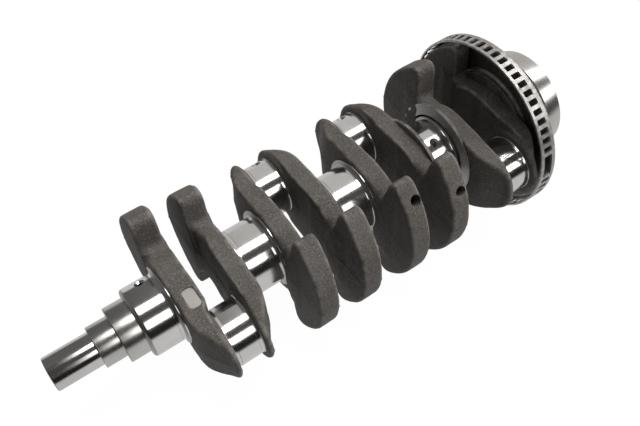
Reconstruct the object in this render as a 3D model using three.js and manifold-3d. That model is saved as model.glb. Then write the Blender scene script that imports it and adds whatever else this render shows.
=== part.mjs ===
// Inline four-cylinder crankshaft with a bolted-on speed sensor wheel, in millimetres, +Z up.
// The shaft runs along X with the rear flange at +X and lies with its crankpins level:
// pins 1 and 4 point to -Y, pins 2 and 3 to +Y. The origin is the middle of the whole part's box.

import * as THREE from "three";
import Module from "manifold-3d";

const wasm = await Module();
wasm.setup();

// ---- driving dimensions ----
const BORE_PITCH = 88; // distance between neighbouring cylinders
const THROW = 48; // crank radius, half of the piston stroke
const MAIN_R = 28.7; // main journals
const PIN_R = 24; // crankpins
const MAIN_HALF = 14.2; // middle of a main journal to its thrust collar
const PIN_HALF = 13.4; // middle of a crankpin to its collar
const MAIN_COLLAR_R = 33.5;
const PIN_COLLAR_R = 31;
const THRUST_COLLAR_R = 42.8; // main journal 4 takes the end thrust
const MAIN_1_X = 82.4; // middle of main journal 1, measured from the nose end
const NOSE_R = 13.75; // pulley seat
const NOSE_END_X = 36.1;
const SEAL_R = 17; // short step behind the pulley seat
const SEAL_END_X = 53.1;
const GEAR_R = 22.9; // timing gear seat
const MAIN_1_FRONT_X = 69.4;
const FLANGE_R = 45.9;
const FLANGE_FRONT_X = 448.6;
const FLANGE_REAR_X = 464.5;
const FLANGE_BOLTS = 8;
const FLANGE_BOLT_PCR = 34; // pitch circle radius of the flywheel bolts
const PILOT_R = 11; // bore for the gearbox shaft
const DOWEL_R = 4;
const DOWEL_OUT = 7; // how far the flange dowel stands proud
const BODY_IN = 13.9; // web body, measured from the middle of its crankpin
const BODY_OUT = 28.7;
const BODY_HALF_WIDTH = 37.8; // web beside the main journal
const PIN_END_Y = 44; // middle of the web's round end, a little inside the crankpin's axis
const PIN_END_R = 33.2; // that round end's radius
const NECK_HALF_WIDTH = 31; // web where it meets the counterweight
const WEIGHT_CORNER_R = 9;
// Webs 1 to 8: near and far face of the counterweight from the middle of the crankpin, its rim
// radius, its flat inner flanks from the shaft axis, and the body's inner face beside the journal.
const WEBS = [
  [9.8, 29.6, 76.4, 33, 9.8],
  [9.6, 29.2, 73.2, 32.5, 13.9],
  [12, 29, 76.4, 36, 12.4],
  [12, 29, 76.4, 35, 12.4],
  [12, 29, 76.4, 35, 12.4],
  [12, 29, 76.4, 36, 12.4],
  [9.6, 29.2, 75.6, 32.5, 13.9],
  [12.4, 29.6, 76.4, 33, 12.4],
];
const THICK_TO = 23; // the thicker part of a web's body ends here, short of the crankpin
// The web's outer face turns down towards the crankpin's end in three flats: [from, angle].
const SLOPES = [
  [46.5, 0.26],
  [51, 0.54],
  [72, 1],
];
const MACHINED_FLAT_Z = 34.5; // height of the small flat on web 1
const ROOF = 0.07; // how far the flats fall away to both sides
// Mouths of the oil drillings: [journal, offset from its middle along x, degrees from +Y towards +Z].
const MAIN_OIL = [
  [1, 2.6, 57.5],
  [2, 2.6, -57.5],
  [4, 0.6, 109],
  [5, 2.6, -109],
];
const PIN_OIL = [
  [1, 2.6, 232],
  [2, 2.6, 51],
  [3, 1.6, 53],
  [4, 1.6, 232],
];
const OIL_R = 2.4;
const OIL_MOUTH_R = 2.9;
// Balance holes in the rims of counterweights 5 and 6: [x, degrees from +Y towards +Z].
const BALANCE_HOLES = [
  [284.8, 139],
  [324.4, 149.5],
];
const BALANCE_HOLE_R = 5;
const BALANCE_HOLE_FLOOR = 58; // from the shaft axis
const NOSE_BOLT_R = 6;
const NOSE_BOLT_DEPTH = 32;
const PILOT_DEPTH = 22;
const FLANGE_BOLT_R = 5;
const DOWEL_DEPTH = 9;
const WHEEL_R = 81; // sensor wheel, outside
const WHEEL_T = 1.6; // its sheet thickness
const WHEEL_FRONT_X = 405.6;
const WHEEL_BORE_R = 47.5;
const SPIGOT_REAR_X = 423; // the shoulder on web 8 that centres the wheel
const WINDOW_COUNT = 60; // pitch positions round the rim
const LONG_WINDOW_ANGLE = 166.6; // degrees from +Y towards +Z
const WHEEL_SCREWS = 3;
const WHEEL_SCREW_PCR = 60; // pitch circle radius
const WHEEL_SCREW_STEP = 34; // degrees between the screws
const SCREW_R = 3;
const SCREW_HEAD_R = 5.6;
const SCREW_LENGTH = 13; // under the head
const SOCKET_R = 2.3;
const WINDOW_LENGTH = 8.4; // along the shaft
const WINDOW_WIDTH = 5.6; // round the rim
const LONG_WINDOW_PART = 9.2; // the middle third of the long window
const WINDOW_MIDDLE_X = 412.4;
const WEB_8_REAR = 29.6; // rear face of counterweight 8 from the middle of crankpin 4
const CLEARANCE = 0.3; // between separate pieces that touch or nest
const SHIFT = -(FLANGE_REAR_X + DOWEL_OUT) / 2; // nose-based x to the part's frame

// ---- small helpers ----

// A three.js geometry as a manifold-3d solid, turned outwards if need be.
function solid(geometry) {
  const g = geometry.index ? geometry.toNonIndexed() : geometry;
  const position = g.getAttribute("position").array;
  const count = position.length / 3;
  const triVerts = new Uint32Array(count).map((_, i) => i);
  const mesh = new wasm.Mesh({ numProp: 3, vertProperties: Float32Array.from(position), triVerts });
  mesh.merge();
  const made = new wasm.Manifold(mesh);
  if (made.volume() >= 0) return made;
  for (let i = 0; i < count; i += 3) [triVerts[i + 1], triVerts[i + 2]] = [triVerts[i + 2], triVerts[i + 1]];
  const turned = new wasm.Mesh({ numProp: 3, vertProperties: Float32Array.from(position), triVerts });
  turned.merge();
  return new wasm.Manifold(turned);
}

// A manifold-3d solid back as a three.js geometry.
function geometryOf(body) {
  const mesh = body.getMesh();
  const geometry = new THREE.BufferGeometry();
  const xyz = new Float32Array((mesh.vertProperties.length / mesh.numProp) * 3);
  for (let i = 0; i < xyz.length / 3; i += 1) {
    for (let k = 0; k < 3; k += 1) xyz[i * 3 + k] = mesh.vertProperties[i * mesh.numProp + k];
  }
  geometry.setAttribute("position", new THREE.BufferAttribute(xyz, 3));
  geometry.setIndex(Array.from(mesh.triVerts));
  const flat = geometry.toNonIndexed();
  flat.computeVertexNormals();
  return flat;
}

// A body of revolution about the X axis through (0, y, z): [x, r] pairs from axis to axis.
function revolve(profile, segments, y = 0, z = 0) {
  const points = profile.map(([x, r]) => new THREE.Vector2(r, x));
  const geometry = new THREE.LatheGeometry(points, segments);
  geometry.rotateZ(-Math.PI / 2);
  geometry.translate(0, y, z);
  return solid(geometry);
}

// A plate whose outline lies in (Y, Z), between x0 and x1, its edges rounded by `round`.
function plate(shape, x0, x1, round, curveSegments = 12) {
  const geometry = new THREE.ExtrudeGeometry(shape, {
    depth: x1 - x0 - 2 * round,
    bevelEnabled: round > 0,
    bevelThickness: round,
    bevelSize: round,
    bevelOffset: -round,
    bevelSegments: 1,
    curveSegments,
  });
  geometry.translate(0, 0, round);
  const turn = new THREE.Matrix4().makeBasis(
    new THREE.Vector3(0, 1, 0),
    new THREE.Vector3(0, 0, 1),
    new THREE.Vector3(1, 0, 0),
  );
  geometry.applyMatrix4(turn);
  geometry.translate(x0, 0, 0);
  return solid(geometry);
}

// A round bar between two points.
function bar(from, to, radius, segments = 12) {
  const a = new THREE.Vector3(...from);
  const b = new THREE.Vector3(...to);
  const geometry = new THREE.CylinderGeometry(radius, radius, a.distanceTo(b), segments);
  const turn = new THREE.Quaternion().setFromUnitVectors(
    new THREE.Vector3(0, 1, 0),
    b.clone().sub(a).normalize(),
  );
  geometry.applyQuaternion(turn);
  const middle = a.clone().add(b).multiplyScalar(0.5);
  geometry.translate(middle.x, middle.y, middle.z);
  return solid(geometry);
}

// ---- the shaft ----

const mainX = (i) => MAIN_1_X + BORE_PITCH * (i - 1);
const pinX = (i) => MAIN_1_X + BORE_PITCH * (i - 0.5);
// The side of the shaft a crankpin stands on, along Y.
const pinSide = (i) => (i === 1 || i === 4 ? -1 : 1);

// One end of a journal, from the running surface out to its collar: [distance from middle, radius].
function journalEnd(r, half, collarR, fillet) {
  return [
    [half - fillet, r],
    [half, r + 1.6],
    [half, collarR],
    [half + 3, collarR],
    [half + 3, 0],
  ];
}

function journal(x, y, r, half, collarR, fillet) {
  const end = journalEnd(r, half, collarR, fillet);
  const front = end.map(([d, radius]) => [x - d, radius]).reverse();
  const rear = end.map(([d, radius]) => [x + d, radius]);
  return revolve([...front, ...rear], 36, y);
}

// Pulley seat, seal step, gear seat and the front of main journal 1 with its rounded shoulder.
function nose() {
  const end = journalEnd(MAIN_R, MAIN_HALF, MAIN_COLLAR_R, 1.8).map(([d, r]) => [mainX(1) + d, r]);
  return revolve(
    [
      [0, 0],
      [0, NOSE_R - 1],
      [1, NOSE_R],
      [NOSE_END_X, NOSE_R],
      [NOSE_END_X, SEAL_R - 0.6],
      [NOSE_END_X + 0.6, SEAL_R],
      [SEAL_END_X, SEAL_R],
      [SEAL_END_X, GEAR_R - 0.6],
      [SEAL_END_X + 0.6, GEAR_R],
      [MAIN_1_FRONT_X, GEAR_R],
      [MAIN_1_FRONT_X, MAIN_R - 3],
      [MAIN_1_FRONT_X + 0.8, MAIN_R - 1],
      [MAIN_1_FRONT_X + 2.8, MAIN_R],
      ...end,
    ],
    40,
  );
}

// The wheel's spigot, main journal 5 and the flywheel flange behind it.
function rearEnd() {
  const spigotR = WHEEL_BORE_R - CLEARANCE;
  return revolve(
    [
      [mainX(5) - MAIN_HALF - 3, 0],
      [mainX(5) - MAIN_HALF - 3, spigotR],
      [SPIGOT_REAR_X - 1, spigotR],
      [SPIGOT_REAR_X, spigotR - 1],
      [SPIGOT_REAR_X, MAIN_R + 1.6],
      [SPIGOT_REAR_X + 1.6, MAIN_R],
      [FLANGE_FRONT_X - 1.6, MAIN_R],
      [FLANGE_FRONT_X, MAIN_R + 1.6],
      [FLANGE_FRONT_X, FLANGE_R - 1],
      [FLANGE_FRONT_X + 1, FLANGE_R],
      [FLANGE_REAR_X - 1, FLANGE_R],
      [FLANGE_REAR_X, FLANGE_R - 1],
      [FLANGE_REAR_X, 0],
    ],
    48,
  );
}

// A thrust collar of main journal 4; `along` is +1 behind the journal and -1 in front of it.
function thrustCollar(along) {
  const face = mainX(4) + along * MAIN_HALF;
  const profile = [
    [face, 0],
    [face, THRUST_COLLAR_R - 0.8],
    [face + along * 0.8, THRUST_COLLAR_R],
    [face + along * 5, THRUST_COLLAR_R],
    [face + along * 5, 0],
  ];
  return revolve(profile, 40);
}

// Points of an arc, as [y, z] pairs, from angle `from` to angle `to`.
function arc(cy, cz, r, from, to, steps) {
  const points = [];
  for (let i = 0; i <= steps; i += 1) {
    const t = from + ((to - from) * i) / steps;
    points.push([cy + r * Math.cos(t), cz + r * Math.sin(t)]);
  }
  return points;
}

// A closed outline from its upper half, drawn for a crankpin on the -Y side and turned over for +Y.
function mirrored(upper, side) {
  const lower = upper.map(([y, z]) => [y, -z]).reverse();
  const points = [...upper, ...lower];
  return new THREE.Shape(points.map(([y, z]) => new THREE.Vector2(-side * y, z)));
}

// A web's body: a round end at the crankpin, a wider round end at the main journal, tangent sides.
function bodyShape(side) {
  const lean = Math.asin((BODY_HALF_WIDTH - PIN_END_R) / PIN_END_Y);
  const tangent = Math.PI / 2 + lean;
  const upper = [
    ...arc(0, 0, BODY_HALF_WIDTH, 0.18, tangent, 5),
    ...arc(-PIN_END_Y, 0, PIN_END_R, tangent, Math.PI - 0.13, 6),
  ];
  return mirrored(upper, side);
}

// A counterweight with its neck: hollow roots, straight flanks, rounded corners and a round rim.
function weightShape(side, rim, chord) {
  const cornerZ = Math.sqrt((rim - WEIGHT_CORNER_R) ** 2 - (chord + WEIGHT_CORNER_R) ** 2);
  const meet = Math.atan2(cornerZ, chord + WEIGHT_CORNER_R);
  const upper = [
    ...arc(0, 0, rim, 0.06, meet, 8),
    ...arc(chord + WEIGHT_CORNER_R, cornerZ, WEIGHT_CORNER_R, meet + 0.5, Math.PI, 3),
    [chord, NECK_HALF_WIDTH + 7],
    [chord - 2, NECK_HALF_WIDTH + 2.5],
    [chord - 6, NECK_HALF_WIDTH],
    [5, NECK_HALF_WIDTH],
  ];
  return mirrored(upper, side);
}

// One web: `w` counts from the nose, odd webs stand in front of their crankpin and even ones behind it.
function web(w) {
  const pin = Math.ceil(w / 2);
  const along = w % 2 ? -1 : 1;
  const side = pinSide(pin);
  const span = (near, far) => [pinX(pin) + along * near, pinX(pin) + along * far].sort((p, q) => p - q);
  const [near, far, rim, chord, inner] = WEBS[w - 1];
  let body = plate(bodyShape(side), ...span(BODY_IN, BODY_OUT), 2.4);
  for (const [from, angle] of SLOPES) {
    for (const tilt of [-ROOF, ROOF]) {
      const wedge = new THREE.BoxGeometry(60, 180, 120);
      wedge.translate(30, 0, 0);
      wedge.rotateY(tilt);
      wedge.rotateZ(angle);
      wedge.translate(BODY_OUT, from, 0);
      wedge.scale(along, side, 1);
      wedge.translate(pinX(pin), 0, 0);
      body = body.subtract(solid(wedge));
    }
  }
  if (inner < BODY_IN) {
    const beyond = new THREE.BoxGeometry(120, 80, 120);
    beyond.translate(pinX(pin), side * (THICK_TO + 40), 0);
    const thick = plate(bodyShape(side), ...span(inner, BODY_IN + 4), 1.2);
    body = body.add(thick.subtract(solid(beyond)));
  }
  return body.add(plate(weightShape(side, rim, chord), ...span(near, far), 2.6));
}

// ---- what is cut out of the shaft ----

// A short radial hole from a journal's axis at (x, y) out through its running surface.
function oilMouth(x, y, r, degrees) {
  const t = THREE.MathUtils.degToRad(degrees);
  const out = r + 2;
  return bar([x, y, 0], [x, y + out * Math.cos(t), out * Math.sin(t)], OIL_MOUTH_R, 10);
}

// Oil mouths on main journals 1, 2, 4 and 5 and on every crankpin, and the drillings that join them.
function oilDrillings() {
  return MAIN_OIL.flatMap(([main, mainOffset, mainAngle], k) => {
    const [pin, pinOffset, pinAngle] = PIN_OIL[k];
    const mainAt = mainX(main) + mainOffset;
    const pinAt = pinX(pin) + pinOffset;
    const y = pinSide(pin) * THROW;
    return [
      oilMouth(mainAt, 0, MAIN_R, mainAngle),
      oilMouth(pinAt, y, PIN_R, pinAngle),
      bar([mainAt, 0, 0], [pinAt, y, 0], OIL_R, 8),
    ];
  });
}

// Blind radial holes that balance the shaft, drilled into the rims of weights 5 and 6.
function balanceHoles() {
  return BALANCE_HOLES.map(([x, degrees]) => {
    const t = THREE.MathUtils.degToRad(degrees);
    const point = (r) => [x, r * Math.cos(t), r * Math.sin(t)];
    return bar(point(BALANCE_HOLE_FLOOR), point(WHEEL_R), BALANCE_HOLE_R, 20);
  });
}

// Bolt hole in the nose, pilot bore, flywheel bolt holes and dowel hole in the flange.
function endHoles() {
  const cuts = [
    bar([-1, 0, 0], [NOSE_BOLT_DEPTH, 0, 0], NOSE_BOLT_R, 24),
    bar([FLANGE_REAR_X - PILOT_DEPTH, 0, 0], [FLANGE_REAR_X + 1, 0, 0], PILOT_R, 36),
  ];
  for (let i = 0; i < FLANGE_BOLTS; i += 1) {
    const t = (2 * Math.PI * (i + 0.5)) / FLANGE_BOLTS;
    const y = FLANGE_BOLT_PCR * Math.cos(t);
    const z = FLANGE_BOLT_PCR * Math.sin(t);
    cuts.push(bar([FLANGE_FRONT_X - 1, y, z], [FLANGE_REAR_X + 1, y, z], FLANGE_BOLT_R, 14));
  }
  const dowelStart = [FLANGE_REAR_X - DOWEL_DEPTH, 0, FLANGE_BOLT_PCR];
  cuts.push(bar(dowelStart, [FLANGE_REAR_X + 1, 0, FLANGE_BOLT_PCR], DOWEL_R + CLEARANCE, 20));
  return cuts;
}

// Angles of the sensor wheel's screws round the shaft, from +Y.
const screwAngles = Array.from({ length: WHEEL_SCREWS }, (_, i) =>
  THREE.MathUtils.degToRad((i - (WHEEL_SCREWS - 1) / 2) * WHEEL_SCREW_STEP),
);

function crankshaft() {
  let shaft = nose().add(rearEnd()).add(thrustCollar(1)).add(thrustCollar(-1));
  for (let i = 2; i <= 4; i += 1) {
    shaft = shaft.add(journal(mainX(i), 0, MAIN_R, MAIN_HALF, MAIN_COLLAR_R, 1.8));
  }
  for (let i = 1; i <= 4; i += 1) {
    shaft = shaft.add(journal(pinX(i), pinSide(i) * THROW, PIN_R, PIN_HALF, PIN_COLLAR_R, 3.4));
  }
  for (let w = 1; w <= 8; w += 1) shaft = shaft.add(web(w));
  shaft = shaft.subtract(machinedFlat());
  const cuts = [...oilDrillings(), ...balanceHoles(), ...endHoles()];
  for (const t of screwAngles) {
    const y = WHEEL_SCREW_PCR * Math.cos(t);
    const z = WHEEL_SCREW_PCR * Math.sin(t);
    const end = pinX(4) + WEB_8_REAR - SCREW_LENGTH;
    cuts.push(bar([end, y, z], [end + 18, y, z], SCREW_R + CLEARANCE, 16));
  }
  for (const cut of cuts) shaft = shaft.subtract(cut);
  return shaft;
}

// What is milled off the top flank of web 1: a small flat with rounded corners seen from above.
function machinedFlat() {
  const [x0, x1, y0, y1] = [104.6, 113.6, -31, -14];
  const r = 2.5;
  const shape = new THREE.Shape();
  shape.moveTo(x0 + r, y0);
  shape.lineTo(x1 - r, y0);
  shape.quadraticCurveTo(x1, y0, x1, y0 + r);
  shape.lineTo(x1, y1 - r);
  shape.quadraticCurveTo(x1, y1, x1 - r, y1);
  shape.lineTo(x0 + r, y1);
  shape.quadraticCurveTo(x0, y1, x0, y1 - r);
  shape.lineTo(x0, y0 + r);
  shape.quadraticCurveTo(x0, y0, x0 + r, y0);
  const geometry = new THREE.ExtrudeGeometry(shape, { depth: 8, bevelEnabled: false, curveSegments: 4 });
  geometry.translate(0, 0, MACHINED_FLAT_Z);
  return solid(geometry);
}

// ---- the sensor wheel and its screws ----

const WEB_8_REAR_X = pinX(4) + WEB_8_REAR;

// A pressed cup: a flat ring against web 8's counterweight and a rim round it with windows.
function sensorWheel() {
  const face = WEB_8_REAR_X + CLEARANCE;
  const t = WHEEL_T;
  let wheel = revolve(
    [
      [face, WHEEL_BORE_R],
      [face, 70],
      [face - 0.2, 73],
      [face - 0.4, WHEEL_R - t - 1.4],
      [face - 2, WHEEL_R - t],
      [WHEEL_FRONT_X, WHEEL_R - t],
      [WHEEL_FRONT_X, WHEEL_R],
      [face - 1.4, WHEEL_R],
      [face + t, WHEEL_R - 3],
      [face + t, WHEEL_BORE_R],
      [face, WHEEL_BORE_R],
    ],
    120,
  );
  const pitch = (2 * Math.PI) / WINDOW_COUNT;
  const window = (angle, width) => {
    const box = new THREE.BoxGeometry(WINDOW_LENGTH, width, 10);
    box.translate(WINDOW_MIDDLE_X, 0, WHEEL_R - 1);
    box.rotateX(angle);
    return solid(box);
  };
  const middle = THREE.MathUtils.degToRad(LONG_WINDOW_ANGLE - 90);
  const cuts = [];
  for (let i = 2; i < WINDOW_COUNT - 1; i += 1) cuts.push(window(middle + i * pitch, WINDOW_WIDTH));
  // three overlapping cuts make the long window that marks the shaft's zero
  for (const side of [-1, 0, 1]) {
    cuts.push(window(middle + side * pitch, side ? WINDOW_WIDTH : LONG_WINDOW_PART));
  }
  wheel = wheel.subtract(wasm.Manifold.union(cuts));
  for (const a of screwAngles) {
    const y = WHEEL_SCREW_PCR * Math.cos(a);
    const z = WHEEL_SCREW_PCR * Math.sin(a);
    wheel = wheel.subtract(bar([face - 2, y, z], [face + 4, y, z], SCREW_R + CLEARANCE, 16));
  }
  return wheel;
}

// A screw with a low round head and a hexagon socket, its head on the wheel's rear face.
function wheelScrew(angle) {
  const under = WEB_8_REAR_X + WHEEL_T + 2 * CLEARANCE;
  const y = WHEEL_SCREW_PCR * Math.cos(angle);
  const z = WHEEL_SCREW_PCR * Math.sin(angle);
  const screw = revolve(
    [
      [under - SCREW_LENGTH, 0],
      [under - SCREW_LENGTH, SCREW_R - 0.6],
      [under - SCREW_LENGTH + 0.6, SCREW_R],
      [under, SCREW_R],
      [under, SCREW_HEAD_R],
      [under + 1.6, SCREW_HEAD_R],
      [under + 3, SCREW_HEAD_R - 1.2],
      [under + 3, 0],
    ],
    24,
    y,
    z,
  );
  return screw.subtract(bar([under + 0.8, y, z], [under + 4, y, z], SOCKET_R, 6));
}

function flangeDowel() {
  return revolve(
    [
      [FLANGE_REAR_X - DOWEL_DEPTH + CLEARANCE, 0],
      [FLANGE_REAR_X - DOWEL_DEPTH + CLEARANCE, DOWEL_R],
      [FLANGE_REAR_X + DOWEL_OUT - 0.8, DOWEL_R],
      [FLANGE_REAR_X + DOWEL_OUT, DOWEL_R - 0.8],
      [FLANGE_REAR_X + DOWEL_OUT, 0],
    ],
    24,
    0,
    FLANGE_BOLT_PCR,
  );
}

// ---- the assembly ----

function named(name, body, colour, metalness, roughness) {
  const material = new THREE.MeshStandardMaterial({ color: colour, metalness, roughness });
  const mesh = new THREE.Mesh(geometryOf(body.translate(SHIFT, 0, 0)), material);
  mesh.name = name;
  return mesh;
}

const group = new THREE.Group();
group.add(named("crankshaft", crankshaft(), 0x6f6b66, 0.8, 0.45));
group.add(named("sensor_wheel", sensorWheel(), 0xb9b6b2, 0.9, 0.35));
screwAngles.forEach((angle, i) => {
  group.add(named(`sensor_wheel_screw_${i + 1}`, wheelScrew(angle), 0x3c3a38, 0.8, 0.45));
});
group.add(named("flange_dowel", flangeDowel(), 0xa8a6a3, 0.9, 0.3));

export default group;
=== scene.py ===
"""The visual model of a four-cylinder crankshaft and its speed sensor wheel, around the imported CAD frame."""

import math

import bmesh
import bpy
import numpy as np
from mathutils import Matrix, Vector


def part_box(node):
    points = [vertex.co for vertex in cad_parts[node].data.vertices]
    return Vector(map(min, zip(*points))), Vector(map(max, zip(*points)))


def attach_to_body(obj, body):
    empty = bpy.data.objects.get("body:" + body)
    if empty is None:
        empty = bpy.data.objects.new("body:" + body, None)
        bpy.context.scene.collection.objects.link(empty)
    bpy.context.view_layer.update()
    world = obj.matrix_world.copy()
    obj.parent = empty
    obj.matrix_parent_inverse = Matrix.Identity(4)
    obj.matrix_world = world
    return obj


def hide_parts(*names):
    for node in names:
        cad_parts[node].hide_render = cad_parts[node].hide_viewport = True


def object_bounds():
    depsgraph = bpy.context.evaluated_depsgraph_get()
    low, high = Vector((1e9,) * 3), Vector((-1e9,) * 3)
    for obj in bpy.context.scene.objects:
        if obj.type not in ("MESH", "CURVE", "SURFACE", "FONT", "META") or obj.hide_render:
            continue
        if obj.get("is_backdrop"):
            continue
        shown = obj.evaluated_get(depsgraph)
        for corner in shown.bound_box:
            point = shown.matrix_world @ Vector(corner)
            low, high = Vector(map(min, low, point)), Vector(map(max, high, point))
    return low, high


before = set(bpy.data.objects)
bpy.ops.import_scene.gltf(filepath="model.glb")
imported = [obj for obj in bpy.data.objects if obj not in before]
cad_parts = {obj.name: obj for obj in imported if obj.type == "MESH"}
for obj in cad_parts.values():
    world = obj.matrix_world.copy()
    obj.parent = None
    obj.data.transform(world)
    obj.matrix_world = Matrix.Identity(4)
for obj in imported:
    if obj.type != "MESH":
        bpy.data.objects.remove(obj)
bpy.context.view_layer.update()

# ---- driving dimensions, in millimetres, x counted from the nose end ----
# +Y points to crankpins 2 and 3, and angles round the shaft are in degrees from +Y towards +Z.

PITCH = 88.0  # bore pitch
THROW = 48.0  # crank radius
MAIN_1 = 82.4  # middle of main journal 1
MAIN_R = 28.7
PIN_R = 24.0
MAIN_HALF = 13.9  # middle of a main journal to its collar face
PIN_HALF = 11.8
FILLET = 1.8  # at the ends of every running surface
MAIN_COLLAR_R = 33.5
PIN_COLLAR_R = 28.2  # ground ring inside the forged collar
COLLAR_EDGE = 0.7  # rounding of a collar's rim
COLLAR_DEPTH = 4.0  # how far a collar reaches back into its web
THRUST_R = 42.8  # wide collars of main journal 4
THRUST_EDGE = 0.8
THRUST_DEPTH = 3.0
NOSE_R = 13.75  # pulley seat
NOSE_FACE_R = 12.8  # flat end
NOSE_END = 36.1
SEAL_R = 17.0
SEAL_END = 53.1
GEAR_R = 22.9  # timing gear seat
MAIN_1_FRONT = 69.4
STEP_EDGE = 0.7  # rounding of the nose's steps
NOSE_BOLT_R = 6.0
NOSE_BOLT_DEPTH = 32.0
HOLE_CHAMFER = 1.2  # of the nose bolt hole and the pilot bore
SPIGOT_R = 47.2  # shoulder that centres the sensor wheel
SPIGOT_FRONT = 417.0
SPIGOT_REAR = 423.0
FLANGE_R = 45.9
FLANGE_EDGE = 0.8
FLANGE_FRONT = 448.6
FLANGE_REAR = 464.5
PILOT_R = 11.0
PILOT_DEPTH = 22.0
BOLT_CIRCLE = 34.0  # flywheel bolts, and the dowel between two of them
BOLTS = 8
BOLT_R = 5.0
DOWEL_R = 4.0
DOWEL_OUT = 7.0  # how far the dowel stands proud
DOWEL_IN = 8.6
RIM_R = 76.4  # counterweights
BALANCE_R = 4.75
BALANCE_FLOOR = 56.6  # from the shaft's axis
BALANCE_HOLES = {5: (284.8, 139.1), 6: (324.5, 149.5)}  # web: x, angle round the shaft
# Oil holes of main journals and crankpins: offset along x from the journal's middle, angle round it.
MAIN_OIL = {1: (2.6, 57.5), 2: (2.6, -57.5), 4: (0.6, 109.0), 5: (2.6, -109.0)}
PIN_OIL = {1: (2.6, 232.0), 2: (2.6, 51.0), 3: (1.6, 53.0), 4: (1.6, 232.0)}
WHEEL_R = 81.0
WHEEL_FRONT = 405.6
SHEET = 1.6  # thickness of the wheel's sheet
WINDOWS = 60  # pitch positions round the wheel's rim
LONG_WINDOW = 166.6  # angle of the window that spans three of them
WINDOW_WIDTH = 5.0
WINDOW_FRONT = 408.3
WINDOW_REAR = 416.7
WINDOW_CORNER = 0.9
SCREW_PCR = 60.0
SCREW_ANGLES = (-34.0, 0.0, 34.0)
SCREW_R = 3.0
SCREW_HEAD_R = 5.6
SCREW_LENGTH = 12.9  # under the head
SOCKET_R = 2.2
CLEARANCE = 0.3  # between separate pieces that touch

GRID = 0.8  # grid of the forging's surface
GRID_REACH = 81.0
SHARP = 28.0  # degrees between faces from which a turned edge stays sharp

NOSE_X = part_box("crankshaft")[0].x * 1000.0  # the nose end in the frame


def main_x(i):
    return MAIN_1 + PITCH * (i - 1)


def pin_x(i):
    return MAIN_1 + PITCH * (i - 0.5)


def pin_side(i):
    return -1.0 if i in (1, 4) else 1.0


WHEEL_FACE = pin_x(4) + 29.9  # front of the wheel's flat ring, on web 8's weight


# ---- smooth solids on a grid ----


def smooth_max(a, b, soft):
    """Larger of two distances with the edge between them rounded over about `soft`."""
    h = np.maximum(soft - np.abs(a - b), 0.0) / soft
    return np.maximum(a, b) + h * h * soft * 0.25


def smooth_min(a, b, soft):
    return -smooth_max(-a, -b, soft)


def uneven_capsule(along, across, length, r_start, r_end):
    """Distance to the outline round two circles on a line: r_start at 0 and r_end at `length`."""
    lean = (r_start - r_end) / length
    up = math.sqrt(1.0 - lean * lean)
    side = np.abs(across)
    k = along * up - side * lean
    start = np.hypot(along, side) - r_start
    end = np.hypot(along - length, side) - r_end
    flank = side * up + along * lean - r_start
    return np.where(k < 0, start, np.where(k > up * length, end, flank))


def surface_nets(field, origin, step):
    """Vertices and quads of the surface where a field on a grid is zero."""
    inside = field < 0
    nx, ny, nz = field.shape
    corners = [(i, j, k) for i in (0, 1) for j in (0, 1) for k in (0, 1)]

    def at_corner(grid, c):
        return grid[c[0]: nx - 1 + c[0], c[1]: ny - 1 + c[1], c[2]: nz - 1 + c[2]]

    corners_inside = sum(at_corner(inside, c).astype(np.int8) for c in corners)
    active = (corners_inside > 0) & (corners_inside < len(corners))
    cells = np.argwhere(active)
    values = {c: at_corner(field, c)[active] for c in corners}
    # one vertex in each active cell, at the mean of the crossings on its edges
    total = np.zeros((len(cells), 3))
    hits = np.zeros(len(cells))
    for start in corners:
        for axis in range(3):
            if start[axis]:
                continue
            end = tuple(1 if i == axis else start[i] for i in range(3))
            crossed = (values[start] < 0) != (values[end] < 0)
            drop = values[start] - values[end]
            point = np.tile(np.array(start, float), (len(cells), 1))
            point[:, axis] = np.where(crossed, values[start] / np.where(crossed, drop, 1.0), 0.0)
            total += point * crossed[:, None]
            hits += crossed
    verts = np.array(origin) + step * (cells + total / hits[:, None])
    index = np.full(active.shape, -1, np.int64)
    index[active] = np.arange(len(cells))
    # one quad round each grid edge that crosses the surface
    unit = np.eye(3, dtype=int)
    quads = []
    for axis, u, v in ((0, 1, 2), (1, 2, 0), (2, 0, 1)):
        a = inside[tuple(slice(0, -1) if i == axis else slice(1, -1) for i in range(3))]
        b = inside[tuple(slice(1, None) if i == axis else slice(1, -1) for i in range(3))]
        base = np.argwhere(a != b) + (1 - unit[axis])
        ring = [base - unit[u] - unit[v], base - unit[v], base, base - unit[u]]
        quad = np.stack([index[tuple(cell.T)] for cell in ring], axis=1)
        leaving = a[a != b]
        quad[~leaving] = quad[~leaving][:, ::-1]
        quads.append(quad)
    return verts, np.concatenate(quads)


def differences(distance, verts, nudge):
    """How a distance function changes across each vertex, from -nudge to +nudge along x, y and z."""
    x, y, z = verts.T
    return np.stack(
        [
            distance(x + nudge, y, z) - distance(x - nudge, y, z),
            distance(x, y + nudge, z) - distance(x, y - nudge, z),
            distance(x, y, z + nudge) - distance(x, y, z - nudge),
        ],
        axis=1,
    )


def settle(verts, distance, rounds=2):
    """Moves vertices onto the zero of a distance function along its gradient."""
    nudge = 0.05
    flattest, longest_move = 0.2, 0.5
    for _ in range(rounds):
        gradient = differences(distance, verts, nudge) / (2 * nudge)
        steepness = np.maximum((gradient * gradient).sum(1), flattest)
        move = np.clip(distance(*verts.T) / steepness, -longest_move, longest_move)
        verts = verts - gradient * move[:, None]
    return verts


# ---- meshes ----


def face_outwards(mesh):
    """Turns every face of a closed mesh outwards."""
    work = bmesh.new()
    work.from_mesh(mesh)
    bmesh.ops.recalc_face_normals(work, faces=work.faces)
    if work.calc_volume(signed=True) < 0:
        bmesh.ops.reverse_faces(work, faces=work.faces)
    work.to_mesh(mesh)
    work.free()


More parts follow.
